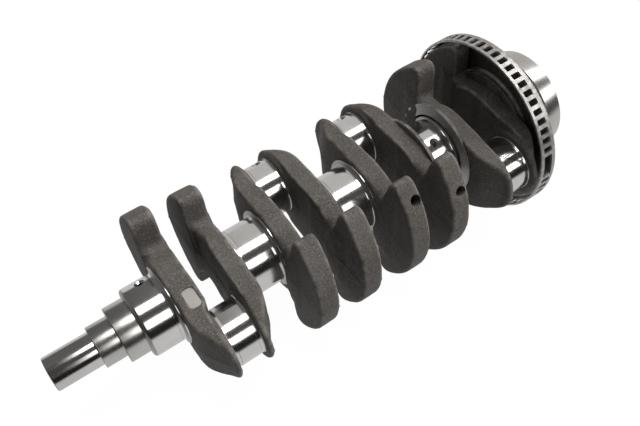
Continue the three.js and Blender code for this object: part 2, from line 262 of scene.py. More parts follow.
def fill_quads(mesh, verts, quads):
    """Puts an array of quads into a mesh, faster than from_pydata."""
    mesh.vertices.add(len(verts))
    mesh.vertices.foreach_set("co", verts.astype(np.float32).ravel())
    mesh.loops.add(quads.size)
    mesh.loops.foreach_set("vertex_index", quads.astype(np.int32).ravel())
    mesh.polygons.add(len(quads))
    mesh.polygons.foreach_set("loop_start", np.arange(0, quads.size, quads.shape[1], dtype=np.int32))
    mesh.update(calc_edges=True)
    mesh.validate()


def shade(mesh, sharp):
    """Smooth shading, with edges of more than `sharp` degrees left sharp."""
    mesh.shade_smooth()
    if sharp is not None:
        mesh.set_sharp_from_angle(angle=math.radians(sharp))


def add_mesh(name, points, faces, sharp=None):
    """A closed mesh object from points in millimetres, x counted from the nose end."""
    mesh = bpy.data.meshes.new(name)
    verts = (np.asarray(points, float) + np.array([NOSE_X, 0.0, 0.0])) / 1000.0
    if isinstance(faces, np.ndarray):
        fill_quads(mesh, verts, faces)
    else:
        mesh.from_pydata(verts.tolist(), [], faces)
    face_outwards(mesh)
    shade(mesh, sharp)
    piece = bpy.data.objects.new(name, mesh)
    bpy.context.scene.collection.objects.link(piece)
    return piece


def joined(name, pieces):
    """One object from several; the originals are deleted."""
    points = []
    faces = []
    for piece in pieces:
        start = len(points)
        points += [tuple(v.co * 1000.0 - Vector((NOSE_X, 0, 0))) for v in piece.data.vertices]
        faces += [tuple(start + i for i in p.vertices) for p in piece.data.polygons]
        bpy.data.objects.remove(piece)
    return add_mesh(name, points, faces)


def cut(piece, cutter):
    """Takes the closed mesh `cutter` out of a piece and deletes it."""
    modifier = piece.modifiers.new("cut", "BOOLEAN")
    modifier.operation = "DIFFERENCE"
    modifier.object = cutter
    modifier.solver = "EXACT"
    graph = bpy.context.evaluated_depsgraph_get()
    mesh = bpy.data.meshes.new_from_object(piece.evaluated_get(graph))
    piece.modifiers.clear()
    old = piece.data
    piece.data = mesh
    mesh.name = old.name
    bpy.data.meshes.remove(old)
    bpy.data.objects.remove(cutter)
    shade(mesh, SHARP)
    return piece


# ---- the forged webs ----

# near, far: the weight's faces from the crankpin's middle; bar: the bar's inner face, likewise;
# chord: where the weight's inner wall stands at z 45; lean: how fast it moves out with height
WEBS = {
    1: dict(near=9.8, far=29.8, rim=RIM_R, bar=9.6, chord=33.0, lean=0.12),
    2: dict(near=9.6, far=29.2, rim=RIM_R - 3.2, bar=13.0, chord=32.5, lean=0.12),
    3: dict(near=11.8, far=29.0, rim=RIM_R, bar=12.0, chord=36.0, lean=0.2),
    4: dict(near=12.0, far=29.0, rim=RIM_R, bar=12.6, chord=35.0, lean=0.25),
    5: dict(near=11.8, far=29.0, rim=RIM_R, bar=12.0, chord=35.0, lean=0.25),
    6: dict(near=12.0, far=29.0, rim=RIM_R, bar=12.6, chord=36.0, lean=0.2),
    7: dict(near=9.6, far=29.2, rim=RIM_R - 0.8, bar=13.0, chord=32.5, lean=0.1),
    8: dict(near=12.4, far=29.6, rim=RIM_R, bar=12.4, chord=33.0, lean=0.1),
}
CHORD_Z = 45.0
WEB_NEAR, WEB_FAR = 7.0, 32.0  # space that holds a web, from the crankpin's middle

BAR_LENGTH = 44.0  # from the shaft's axis to the middle of the bar's round end
BAR_MAIN_R = 38.6
BAR_PIN_R = 33.4
BAR_HALF_WIDTH = 37.6
BAR_FAR = 28.7  # outer face, from the crankpin's middle
BAR_THIN = 13.9  # inner face beside the crankpin
THIN_FROM, THIN_OVER = 28.0, 10.0  # where the inner face moves out to BAR_THIN
BACK_LEAN = 0.2  # of the inner face of webs 2 and 7, behind BACK_FROM
BACK_FROM = 2.0
SLOPE_FROM = 50.5  # the outer face falls away towards the crankpin's end
SLOPE = 0.6
ROOF = 0.07  # how fast it falls away to both sides
NECK_HALF_WIDTH = 33.0
NECK_FAR = 28.4
NECK_END = 45.0
PIN_BOSS_R = 30.7  # forged collar round the crankpin's end
PIN_BOSS = (11.4, 16.0)
PARTING_HEIGHT, PARTING_WIDTH = 0.3, 0.8

PAD_X, PAD_Y, PAD_Z = 109.0, -23.5, 34.6  # the machined flat on web 1
PAD_HALF = (4.7, 8.6)
PAD_CORNER = 3.2


def pad_depth(x, y, z):
    """Distance that cuts a flat with rounded corners: positive above the flat, inside its outline."""
    dx = np.abs(x - PAD_X) - (PAD_HALF[0] - PAD_CORNER)
    dy = np.abs(y - PAD_Y) - (PAD_HALF[1] - PAD_CORNER)
    outline = np.hypot(np.maximum(dx, 0.0), np.maximum(dy, 0.0)) - PAD_CORNER
    return np.minimum(z - PAD_Z, -outline)


def bar_distance(w, a, t, z):
    """The bar from main journal to crankpin; `a` and `t` are as in web_distance."""
    size = WEBS[w]
    tall = np.abs(z)
    outline = uneven_capsule(t, z, BAR_LENGTH, BAR_MAIN_R, BAR_PIN_R)
    outline = smooth_max(outline, tall - BAR_HALF_WIDTH, 3.0)
    if w in (2, 7):
        inner = size["bar"] + BACK_LEAN * np.maximum(-t - BACK_FROM, 0.0) - a
    else:
        rise = np.clip((t - THIN_FROM) / THIN_OVER, 0.0, 1.0)
        inner = size["bar"] + (BAR_THIN - size["bar"]) * rise * rise * (3.0 - 2.0 * rise) - a
    outer = a - BAR_FAR
    slope = (outer + SLOPE * (t - SLOPE_FROM) + ROOF * tall) / math.hypot(1.0, SLOPE)
    return smooth_max(smooth_max(outline, smooth_max(outer, slope, 4.5), 3.2), inner, 2.4)


def weight_distance(w, a, t, z):
    """The counterweight: a round rim, a straight inner wall and two faces."""
    size = WEBS[w]
    wall = t + size["chord"] + size["lean"] * (np.abs(z) - CHORD_Z)
    wall = wall / math.hypot(1.0, size["lean"])
    weight = smooth_max(np.hypot(t, z) - size["rim"], wall, 12.0)
    return smooth_max(weight, smooth_max(a - size["far"], size["near"] - a, 2.0), 3.0)


def neck_distance(w, a, t, z):
    """The neck that joins bar and counterweight under the hollow roots."""
    near = max(WEBS[w]["bar"], WEBS[w]["near"])
    neck = np.maximum(np.maximum(np.abs(z) - NECK_HALF_WIDTH, t), -NECK_END - t)
    return smooth_max(neck, np.maximum(a - NECK_FAR, near - a), 6.0)


def web_distance(w):
    """Distance function of web w and its two ends along x.

    Odd webs stand in front of their crankpin and even ones behind it.
    """
    pin = (w + 1) // 2
    along = -1.0 if w % 2 else 1.0
    side = pin_side(pin)
    x0 = pin_x(pin)

    def distance(x, y, z):
        a = along * (x - x0)  # away from the crankpin's middle, towards the main journal
        t = side * y  # towards the crankpin from the shaft's axis
        solid = smooth_min(bar_distance(w, a, t, z), neck_distance(w, a, t, z), 3.0)
        solid = smooth_min(solid, weight_distance(w, a, t, z), 5.0)
        boss = np.hypot(t - THROW, z) - PIN_BOSS_R
        boss = smooth_max(boss, np.maximum(PIN_BOSS[0] - a, a - PIN_BOSS[1]), 3.4)
        solid = smooth_min(solid, boss, 2.0)
        # a fine raised line where the forging dies met
        solid = solid - PARTING_HEIGHT * np.exp(-((z / PARTING_WIDTH) ** 2))
        if w == 1:
            solid = np.maximum(solid, pad_depth(x, y, z))
        return solid

    return distance, (x0 + along * WEB_NEAR, x0 + along * WEB_FAR)


def value_noise(verts, cell, seed):
    """Smooth noise from -1 to 1 on a grid of `cell` millimetres, from a hash of the grid points."""
    p = verts / cell
    base = np.floor(p).astype(np.int64)
    f = p - base
    f = f * f * (3.0 - 2.0 * f)
    out = np.zeros(len(p))
    for i in (0, 1):
        for j in (0, 1):
            for k in (0, 1):
                c = base + (i, j, k)
                n = c[:, 0] * 374761393 + c[:, 1] * 668265263 + c[:, 2] * 2147483647 + seed * 974634777
                n = (n ^ (n >> 13)) * 1274126177
                n = (n ^ (n >> 16)) & 0xFFFF
                weight = (f[:, 0] if i else 1 - f[:, 0]) * (f[:, 1] if j else 1 - f[:, 1])
                weight = weight * (f[:, 2] if k else 1 - f[:, 2])
                out += weight * (n / 32767.5 - 1.0)
    return out


def forged_web(w):
    """Web w with its counterweight, slightly uneven as forgings are."""
    distance, ends = web_distance(w)
    xs = np.arange(min(ends), max(ends) + GRID, GRID)
    across = np.arange(-GRID_REACH, GRID_REACH + GRID, GRID)
    field = distance(xs[:, None, None], across[None, :, None], across[None, None, :])
    verts, quads = surface_nets(field, (xs[0], across[0], across[0]), GRID)
    verts = settle(verts, distance)
    normal = differences(distance, verts, 0.1)
    normal /= np.linalg.norm(normal, axis=1, keepdims=True) + 1e-9
    bumps = 0.16 * value_noise(verts, 9.0, w) + 0.09 * value_noise(verts, 3.4, w + 20)
    return add_mesh(f"forged_web_{w}", verts + normal * bumps[:, None], quads)


# ---- ground and turned surfaces ----


def arc_points(cx, cr, radius, start, end, steps):
    """Points (x, r) of an arc in a turned profile; angles in degrees from +x towards +r."""
    out = []
    for i in range(steps + 1):
        t = math.radians(start + (end - start) * i / steps)
        out.append((cx + radius * math.cos(t), cr + radius * math.sin(t)))
    return out


def lathe(profile, segments):
    """Points and faces of a solid of revolution about x, from (x, r) pairs that start and end on it."""
    points = [(profile[0][0], 0.0, 0.0)]
    for x, r in profile[1:-1]:
        for s in range(segments):
            t = 2 * math.pi * s / segments
            points.append((x, r * math.cos(t), r * math.sin(t)))
    points.append((profile[-1][0], 0.0, 0.0))
    last = len(points) - 1
    last_ring = last - segments
    faces = []
    for s in range(segments):
        n = (s + 1) % segments
        faces.append((0, 1 + n, 1 + s))
        for a in range(1, last_ring, segments):
            b = a + segments
            faces.append((a + s, a + n, b + n, b + s))
        faces.append((last_ring + s, last_ring + n, last))
    return points, faces


def turned(name, profile, y=0.0, z=0.0, segments=192):
    """A turned solid on a line along x through (y, z)."""
    points, faces = lathe(profile, segments)
    return add_mesh(name, [(px, py + y, pz + z) for px, py, pz in points], faces, SHARP)


def drill(start, axis, profile, segments=32):
    """A turned cutter on a line from `start`: (distance along the line, radius) pairs."""
    turn = Vector((1, 0, 0)).rotation_difference(Vector(axis).normalized()).to_matrix()
    points, faces = lathe([(profile[0][0], 0.0)] + profile + [(profile[-1][0], 0.0)], segments)
    return add_mesh("cutter", [tuple(turn @ Vector(p) + Vector(start)) for p in points], faces)


def shoulder(x, r, edge, steps=4):
    """A step up to radius r at x: the outer end of its flat face and its rounded front edge."""
    return [(x, r - edge)] + arc_points(x + edge, r - edge, edge, 180, 90, steps)


def collar_end(r, half, collar_r):
    """Profile from a journal's running surface to its collar: shallow relief, fillet, face and rim."""
    relief_end = half - FILLET - 1.0
    points = [(relief_end - 0.8, r), (relief_end - 0.6, r - 0.2), (relief_end, r - 0.2)]
    points += arc_points(half - FILLET, r + FILLET, FILLET, -90, -8, 7)
    points += [(half, r + FILLET + 0.4)] + shoulder(half, collar_r, COLLAR_EDGE)
    return points + [(half + COLLAR_DEPTH, collar_r), (half + COLLAR_DEPTH, 0.0)]


def between(start, end, step=2.0):
    """Points between two points of a profile, close enough for a clean hole there."""
    count = max(1, round(abs(end[0] - start[0]) / step))
    parts = [k / count for k in range(1, count)]
    return [(start[0] + (end[0] - start[0]) * f, start[1] + (end[1] - start[1]) * f) for f in parts]


def journal(name, x, y, r, half, collar_r):
    end = collar_end(r, half, collar_r)
    front = [(x - d, radius) for d, radius in reversed(end)]
    rear = [(x + d, radius) for d, radius in end]
    return turned(name, front + between(front[-1], rear[0]) + rear, y)


def nose():
    """Bolt hole, pulley seat, seal step, gear seat and main journal 1."""
    profile = [(NOSE_BOLT_DEPTH, 0.0), (NOSE_BOLT_DEPTH, NOSE_BOLT_R)]
    profile += [(HOLE_CHAMFER, NOSE_BOLT_R), (0.0, NOSE_BOLT_R + HOLE_CHAMFER)]
    profile += [(0.0, NOSE_FACE_R)] + arc_points(1.0, NOSE_R - 1.0, 1.0, 180, 90, 4) + [(NOSE_END, NOSE_R)]
    profile += shoulder(NOSE_END, SEAL_R, STEP_EDGE) + [(SEAL_END, SEAL_R)]
    profile += shoulder(SEAL_END, GEAR_R, STEP_EDGE) + [(MAIN_1_FRONT, GEAR_R)]
    profile += shoulder(MAIN_1_FRONT, MAIN_R, 3.1, 8)
    end = [(main_x(1) + d, r) for d, r in collar_end(MAIN_R, MAIN_HALF, MAIN_COLLAR_R)]
    return turned("nose_and_main_journal_1", profile + between(profile[-1], end[0]) + end)


def rear_end():
    """The wheel's spigot, main journal 5 and the flywheel flange with its pilot bore."""
    profile = [(SPIGOT_FRONT, 0.0)] + arc_points(SPIGOT_FRONT + 1.2, SPIGOT_R - 1.2, 1.2, 180, 90, 4)
    profile += arc_points(SPIGOT_REAR - 1.0, SPIGOT_R - 1.0, 1.0, 90, 0, 4)
    profile += arc_points(SPIGOT_REAR + FILLET, MAIN_R + FILLET, FILLET, 180, 270, 6)
    profile += between(profile[-1], (FLANGE_FRONT - FILLET, MAIN_R))
    profile += arc_points(FLANGE_FRONT - FILLET, MAIN_R + FILLET, FILLET, -90, 0, 6)
    profile += shoulder(FLANGE_FRONT, FLANGE_R, FLANGE_EDGE)
    profile += arc_points(FLANGE_REAR - FLANGE_EDGE, FLANGE_R - FLANGE_EDGE, FLANGE_EDGE, 90, 0, 4)
    profile += [(FLANGE_REAR, PILOT_R + HOLE_CHAMFER), (FLANGE_REAR - HOLE_CHAMFER, PILOT_R)]
    profile += [(FLANGE_REAR - PILOT_DEPTH, PILOT_R), (FLANGE_REAR - PILOT_DEPTH, 0.0)]
    return turned("main_journal_5_and_flange", profile)


def thrust_collar(sign):
    """A wide collar of main journal 4; `sign` is +1 behind the journal and -1 in front of it."""
    face = main_x(4) + sign * MAIN_HALF
    back = face + sign * THRUST_DEPTH
    start = 180 if sign > 0 else 0
    edge = arc_points(face + sign * THRUST_EDGE, THRUST_R - THRUST_EDGE, THRUST_EDGE, start, 90, 4)
    profile = [(face, 0.0), (face, THRUST_R - THRUST_EDGE)] + edge + [(back, THRUST_R), (back, 0.0)]
    return turned(f"thrust_collar_{'rear' if sign > 0 else 'front'}", profile)


def outwards(angle):
    """Direction away from the shaft's axis at an angle round it."""
    t = math.radians(angle)
    return (0.0, math.cos(t), math.sin(t))


def oil_hole(x, y, angle, r):
    """Cutter for an oil hole's mouth with its chamfer, in a journal of radius r."""
    profile = [(r - 16.0, 2.6), (r - 1.7, 2.6), (r - 0.5, 3.7), (r + 3.0, 7.2)]
    return drill((x, y, 0.0), outwards(angle), profile)


def bolt_hole(angle):
    """Cutter for one flywheel bolt hole through the flange, chamfered behind."""
    start = tuple(BOLT_CIRCLE * part for part in outwards(angle))
    profile = [(FLANGE_FRONT - 3.0, BOLT_R), (FLANGE_REAR - 0.8, BOLT_R), (FLANGE_REAR + 3.2, BOLT_R + 4.0)]
    return drill(start, (1, 0, 0), profile)


def balance_hole(x, angle):
    """Cutter for a blind radial hole in a counterweight's rim, with a drill point's cone at its end."""
    profile = [(BALANCE_FLOOR, 1.0), (BALANCE_FLOOR + 1.9, BALANCE_R), (RIM_R + 13.6, BALANCE_R)]
    return drill((x, 0, 0), outwards(angle), profile)


def machined_pad():
    """The small flat on the flank of web 1, with rounded corners."""
    outline = []
    for sx, sy, start in ((1, 1, 0), (-1, 1, 90), (-1, -1, 180), (1, -1, 270)):
        cx = PAD_X + sx * (PAD_HALF[0] - PAD_CORNER)
        cy = PAD_Y + sy * (PAD_HALF[1] - PAD_CORNER)
        outline += arc_points(cx, cy, PAD_CORNER - 0.1, start, start + 90, 8)
    count = len(outline)
    points = [(x, y, PAD_Z - 4.0) for x, y in outline] + [(x, y, PAD_Z + 0.4) for x, y in outline]
    faces = [tuple(range(count)), tuple(range(count, 2 * count))]
    faces += [(k, (k + 1) % count, count + (k + 1) % count, count + k) for k in range(count)]
    return add_mesh("machined_pad", points, faces, SHARP)


def flange_dowel():
    start, end, edge = FLANGE_REAR - DOWEL_IN, FLANGE_REAR + DOWEL_OUT, 1.0
    profile = [(start, 0.0), (start, DOWEL_R - 0.5), (start + 0.5, DOWEL_R), (end - edge, DOWEL_R)]
    profile += arc_points(end - edge, DOWEL_R - edge, edge, 90, 0, 5)
    return turned("locating_dowel", profile + [(end, 0.0)], 0.0, BOLT_CIRCLE, 64)


# ---- the sensor wheel and its screws ----


def wheel_profile():
    """Closed section of the pressed cup, from the rim's front edge round to it again."""
    face, out = WHEEL_FACE, WHEEL_R
    profile = [(WHEEL_FRONT, out - SHEET), (WHEEL_FRONT, out - 0.3), (WHEEL_FRONT + 0.3, out)]
    profile += arc_points(face - 1.2, out - 3.0, 3.0, 90, 22, 6)
    profile += [(face + SHEET, out - 4.6), (face + SHEET, 48.6), (face + 0.3, 47.5)]
    # the bore's edge is rolled forward into a low bead
    profile += [(face - 0.9, 47.7), (face - 1.5, 48.6), (face - 1.2, 49.8), (face, 51.4)]
    profile += [(face, out - SHEET - 3.6)]
    return profile + arc_points(face - 2.0, out - SHEET - 2.6, 2.0, 25, 88, 4)


def sensor_wheel():
    profile = wheel_profile()
    count, segments = len(profile), 360
    points = []
    for x, r in profile:
        for s in range(segments):
            t = 2 * math.pi * s / segments
            points.append((x, r * math.cos(t), r * math.sin(t)))
    faces = []
    for i in range(count):
        a, b = i * segments, ((i + 1) % count) * segments
        for s in range(segments):
            n = (s + 1) % segments
            faces.append((a + s, a + n, b + n, b + s))
    wheel = add_mesh("toothed_wheel", points, faces, SHARP)
    pitch = 360.0 / WINDOWS
    cutters = [window_cutter(LONG_WINDOW + i * pitch, WINDOW_WIDTH) for i in range(2, WINDOWS - 1)]
    cutters.append(window_cutter(LONG_WINDOW, WINDOW_WIDTH + 2 * math.radians(pitch) * WHEEL_R))
    return cut(wheel, joined("window_cutters", cutters))


def window_cutter(angle, width):
    """A block through the wheel's rim with rounded corners that follows the rim's curve."""
    half = width / 2 / WHEEL_R
    soft = WINDOW_CORNER / WHEEL_R
    ends = [0.0, 0.15 * soft, 0.5 * soft, soft]
    steps = max(1, int(round((half - soft) / 0.02)))
    middle = [(-half + soft) + 2 * (half - soft) * k / steps for k in range(1, steps)]
    offsets = [-half + e for e in ends] + middle + [half - e for e in reversed(ends)]
    points = []
    for offset in offsets:
        from_end = min(half - abs(offset), soft) / soft
        inset = WINDOW_CORNER * (1.0 - math.sqrt(max(0.0, 1.0 - (1.0 - from_end) ** 2)))
        t = math.radians(angle) + offset
        for r in (WHEEL_R - 8.0, WHEEL_R + 4.0):
            for x in (WINDOW_FRONT + inset, WINDOW_REAR - inset):
                points.append((x, r * math.cos(t), r * math.sin(t)))
    faces = [(0, 1, 3, 2)]
    for a in range(0, len(points) - 4, 4):
        for p, q in ((0, 1), (1, 3), (3, 2), (2, 0)):
            faces.append((a + p, a + 4 + p, a + 4 + q, a + q))
    last = len(points) - 4
    faces.append((last, last + 2, last + 3, last + 1))
    return add_mesh("window", points, faces)


def wheel_screw(number, angle):
    """A low domed head with a hexagon socket, on the rear of the wheel."""
    under = WHEEL_FACE + SHEET + CLEARANCE
    _, y, z = (SCREW_PCR * part for part in outwards(angle))
    tip = under - SCREW_LENGTH
    profile = [(tip, 0.0), (tip, SCREW_R - 0.6), (tip + 0.6, SCREW_R)]
    profile += [(under - 2.4 + 0.4 * k, SCREW_R) for k in range(6)] + [(under, SCREW_R)]
    profile += [(under, SCREW_HEAD_R - 0.3), (under + 0.3, SCREW_HEAD_R), (under + 1.2, SCREW_HEAD_R)]
    for k in range(1, 7):
        t = k * 0.26
        profile.append((under + 1.2 + 1.7 * math.sin(t), SCREW_HEAD_R - 1.6 * (1 - math.cos(t))))
    profile += [(under + 2.9, 2.9), (under + 2.9, 0.0)]
    screw = turned(f"wheel_screw_{number}", profile, y, z, 64)
    return cut(screw, drill((under, y, z), (1, 0, 0), [(0.8, SOCKET_R), (5.0, SOCKET_R)], 6))


# ---- materials ----


class Nodes:
    """Short calls for building a node tree."""

    def __init__(self, tree):
        self.tree = tree
        tree.nodes.clear()

    def put(self, socket, value):
        if isinstance(value, bpy.types.NodeSocket):
            self.tree.links.new(value, socket)
        else:
            socket.default_value = value

    def math(self, operation, *values):
        node = self.tree.nodes.new("ShaderNodeMath")
        node.operation = operation
        for i, value in enumerate(values):
            self.put(node.inputs[i], value)
        return node.outputs[0]

    def times(self, a, b):
        return self.math("MULTIPLY", a, b)

    def plus(self, a, b):
        return self.math("ADD", a, b)

    def times_plus(self, a, b, c):
        return self.math("MULTIPLY_ADD", a, b, c)

    def step(self, value, low, high):
        """0 at low and 1 at high, with a smooth rise between; low may be the larger one."""
        node = self.tree.nodes.new("ShaderNodeMapRange")
        node.interpolation_type = "SMOOTHSTEP"
        self.put(node.inputs["Value"], value)
        node.inputs["From Min"].default_value = low
        node.inputs["From Max"].default_value = high
        return node.outputs["Result"]

    def mix(self, factor, a, b):
        node = self.tree.nodes.new("ShaderNodeMix")
        node.data_type = "RGBA"
        self.put(node.inputs["Factor"], factor)
        self.put(node.inputs["A"], a)
        self.put(node.inputs["B"], b)
        return node.outputs["Result"]

    def noise(self, vector, scale, detail=2.0, rough=0.5):
        node = self.tree.nodes.new("ShaderNodeTexNoise")
        self.put(node.inputs["Vector"], vector)
        node.inputs["Scale"].default_value = scale
        node.inputs["Detail"].default_value = detail
        node.inputs["Roughness"].default_value = rough
        return node.outputs["Fac"]

    def bump(self, height, distance, strength, normal=None):
        node = self.tree.nodes.new("ShaderNodeBump")
        node.inputs["Strength"].default_value = strength
        node.inputs["Distance"].default_value = distance
        self.put(node.inputs["Height"], height)
        if normal is not None:
            self.put(node.inputs["Normal"], normal)
        return node.outputs["Normal"]

    def place(self, kind="Object"):
        return self.tree.nodes.new("ShaderNodeTexCoord").outputs[kind]

    def parts(self, vector):
        """The x, y and z of a vector."""
        node = self.tree.nodes.new("ShaderNodeSeparateXYZ")
        self.put(node.inputs[0], vector)
        return tuple(node.outputs)

    def ray(self, kind):
        """1 for light rays of this kind and 0 for others."""
        return self.tree.nodes.new("ShaderNodeLightPath").outputs[kind]

    def finish(self, shader, output="ShaderNodeOutputMaterial"):
        out = self.tree.nodes.new(output)
        self.tree.links.new(shader.outputs[0], out.inputs["Surface"])

    def principled(self, **values):
        """The finished surface; a name's underscores stand for spaces."""
        shader = self.tree.nodes.new("ShaderNodeBsdfPrincipled")
        for name, value in values.items():
            self.put(shader.inputs[name.replace("_", " ")], value)
        self.finish(shader)


def new_material(name):
    material = bpy.data.materials.new(name)
    material.use_nodes = True
    return material, Nodes(material.node_tree)


def rgb(r, g, b):
    return (r, g, b, 1.0)


def forged_steel():
    """Shot-blasted forging: grainy, dark and slightly warm; lighter on convex edges, partly from wear and
    partly as painted highlight; darker in creases as painted shade.
    """
    material, n = new_material("forged_steel")
    place = n.place()
    broad = n.noise(place, 28.0, 3.0)
    patch = n.noise(place, 110.0, 3.0, 0.6)
    grain = n.noise(place, 900.0, 2.0, 0.65)
    pits = n.noise(place, 420.0, 2.0, 0.6)
    dark, pale = rgb(0.112, 0.102, 0.093), rgb(0.138, 0.128, 0.12)
    warm, spark, pit = rgb(0.15, 0.128, 0.108), rgb(0.36, 0.34, 0.32), rgb(0.03, 0.028, 0.026)
    bare_and_highlight, painted_crease_shade = rgb(0.33, 0.31, 0.29), rgb(0.05, 0.045, 0.042)
    colour = n.mix(n.step(broad, 0.35, 0.65), dark, pale)
    colour = n.mix(n.times(n.step(patch, 0.5, 0.75), 0.35), colour, warm)
    colour = n.mix(n.times(n.step(grain, 0.54, 0.7), 0.5), colour, spark)
    colour = n.mix(n.times(n.step(grain, 0.46, 0.3), 0.6), colour, pit)
    edge = n.tree.nodes.new("ShaderNodeNewGeometry").outputs["Pointiness"]
    # lighter convex edges: partly wear, partly painted highlight where edges catch the light
    worn_and_highlit_edges = n.times(n.step(edge, 0.502, 0.528), n.step(patch, 0.35, 0.6))
    colour = n.mix(n.times(worn_and_highlit_edges, 0.55), colour, bare_and_highlight)
    # painted shade: darker colour in creases and hollows, where the pointiness is low
    colour = n.mix(n.times(n.step(edge, 0.495, 0.46), 0.6), colour, painted_crease_shade)
    rough = n.plus(0.5, n.times(patch, 0.18))
    normal = n.bump(grain, 0.0003, 0.75, n.bump(pits, 0.0006, 0.5))
    n.principled(Base_Color=colour, Metallic=0.0, Specular_IOR_Level=0.15, Roughness=rough, Normal=normal)
    return material


def ground_steel(name, tint, rough, line_depth):
    """Ground or turned steel with fine lines round the shaft."""
    material, n = new_material(name)
    place = n.place()
    stretched = n.tree.nodes.new("ShaderNodeVectorMath")
    stretched.operation = "MULTIPLY"
    n.put(stretched.inputs[0], place)
    stretched.inputs[1].default_value = (1.0, 0.02, 0.02)
    lines = n.noise(stretched.outputs[0], 2600.0, 3.0, 0.7)
    wide = n.noise(stretched.outputs[0], 420.0, 2.0, 0.5)
    smear = n.noise(place, 60.0, 3.0, 0.6)
    colour = n.mix(n.step(smear, 0.35, 0.7), rgb(*[c * 0.93 for c in tint]), rgb(*tint))
    roughness = n.plus(n.plus(rough, n.times(lines, 0.05)), n.times(smear, 0.03))
    depth = 0.00002 * line_depth
    normal = n.bump(wide, depth, 0.2, n.bump(lines, depth, 0.4))
    n.principled(Base_Color=colour, Metallic=1.0, Roughness=roughness, Normal=normal)
    return material


def sheet_steel():
    """Bright pressed sheet, slightly mottled, with a darker ring of painted shade inside its rim."""
    material, n = new_material("pressed_sheet")
    place = n.place()
    mottle = n.noise(place, 260.0, 4.0, 0.6)
    fine = n.noise(place, 1200.0, 2.0, 0.6)
    colour = n.mix(n.step(mottle, 0.4, 0.65), rgb(0.36, 0.35, 0.34), rgb(0.56, 0.55, 0.535))
    _, y, z = n.parts(place)
    radius = n.math("SQRT", n.plus(n.math("POWER", y, 2.0), n.math("POWER", z, 2.0)))
    # painted shade: the flat ring inside the rim is darkened where it lies in shade
    ring = n.times(n.step(radius, 0.0795, 0.0765), n.step(radius, 0.0495, 0.0515))
    colour = n.mix(n.times(ring, 0.65), colour, rgb(0.06, 0.057, 0.055))
    rough = n.plus(0.36, n.times(mottle, 0.15))
    normal = n.bump(fine, 0.0001, 0.35, n.bump(mottle, 0.0002, 0.35))
    n.principled(Base_Color=colour, Metallic=0.95, Roughness=rough, Normal=normal)
    return material


def screw_steel():
    """Dark phosphated steel."""
    material, n = new_material("phosphated_steel")
    fine = n.noise(n.place(), 1500.0, 2.0, 0.6)
    colour = n.mix(n.step(fine, 0.35, 0.65), rgb(0.05, 0.048, 0.045), rgb(0.085, 0.08, 0.075))
    n.principled(Base_Color=colour, Metallic=0.85, Roughness=0.42, Normal=n.bump(fine, 0.00006, 0.4))
    return material


# ---- the studio ----


def world_light():
    """Two long softboxes over the shaft, a pale wall behind it and darkness towards the nose side.

    Everything is told apart by a direction's angle round the shaft, 0 at +Y and 90 overhead, and by
    its x. The camera itself sees plain white.
    """
    world = bpy.data.worlds.new("studio")
    bpy.context.scene.world = world
    world.use_nodes = True
    n = Nodes(world.node_tree)
    x, y, z = n.parts(n.place("Generated"))
    around = n.times(n.math("ARCTAN2", z, y), 180.0 / math.pi)

    def band(low, high, soft):
        return n.times(n.step(around, low, low + soft), n.step(around, high, high - soft))

    def lengthwise(low, high, gain, rest):
        """`rest` towards the nose and `gain` more behind, as x goes from low to high."""
        return n.times_plus(n.step(x, low, high), gain, rest)

    overhead = n.times(band(76.0, 101.0, 4.0), lengthwise(-0.15, 0.0, 5.2, 0.06))
    camera_side = n.times(band(126.0, 152.0, 4.0), lengthwise(-0.15, 0.08, 3.7, 0.05))
    wall = n.times(n.step(around, 78.0, 74.0), lengthwise(0.08, 0.24, 0.5, 0.12))
    wall = n.times(wall, n.step(around, -95.0, -90.0))
    front = n.times(n.step(x, -0.3, -0.7), n.times(n.step(y, 0.1, 0.5), n.step(z, -0.1, 0.1)))
    front = n.times(front, n.step(z, 0.6, 0.3))
    gap = band(98.0, 130.0, 6.0)
    faint = n.times_plus(gap, 0.05, n.times_plus(front, 0.25, n.plus(wall, 0.012)))
    total = n.plus(n.plus(overhead, camera_side), faint)
    seen = n.ray("Is Camera Ray")
    total = n.plus(n.times(total, n.math("SUBTRACT", 1.0, seen)), n.times(seen, 1.05))
    background = n.tree.nodes.new("ShaderNodeBackground")
    n.put(background.inputs["Strength"], total)
    background.inputs["Color"].default_value = rgb(1.0, 0.985, 0.965)
    n.finish(background, "ShaderNodeOutputWorld")


def floor():
    """A plain pale floor, white to the camera; it gives the metal a softer light from one side."""
    half = 12.0
    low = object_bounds()[0][2] - 0.0005
    mesh = bpy.data.meshes.new("floor")
    corners = [(-half, -half, low), (half, -half, low), (half, half, low), (-half, half, low)]
    mesh.from_pydata(corners, [], [(0, 1, 2, 3)])
    plane = bpy.data.objects.new("floor", mesh)
    bpy.context.scene.collection.objects.link(plane)
    material, n = new_material("pale_floor")
    x, y, _ = n.parts(n.place())
    lit = n.times(n.step(x, -0.75, -0.1), n.step(y, -1.6, -0.35))
    lit = n.times_plus(lit, 0.62, 0.015)
    weaker = n.math("SUBTRACT", 1.0, n.times(n.ray("Is Diffuse Ray"), 0.6))
    lit = n.times(lit, weaker)
    seen = n.ray("Is Camera Ray")
    level = n.plus(n.times(seen, 0.97), n.times(n.math("SUBTRACT", 1.0, seen), lit))
    glow = n.tree.nodes.new("ShaderNodeEmission")
    glow.inputs["Color"].default_value = rgb(1.0, 1.0, 1.0)
    n.put(glow.inputs["Strength"], level)
    pale = n.tree.nodes.new("ShaderNodeBsdfDiffuse")
    pale.inputs["Color"].default_value = rgb(0.06, 0.06, 0.06)
    both = n.tree.nodes.new("ShaderNodeAddShader")
    n.tree.links.new(glow.outputs[0], both.inputs[0])
    n.tree.links.new(pale.outputs[0], both.inputs[1])
    n.finish(both)
    mesh.materials.append(material)
    plane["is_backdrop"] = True


CAMERA_PLACE = (42.213, -281.086, 507.119)
CAMERA_AZIMUTH, CAMERA_ELEVATION, CAMERA_ROLL = 55.222, -55.738, -0.527
CAMERA_LENS = 41.953


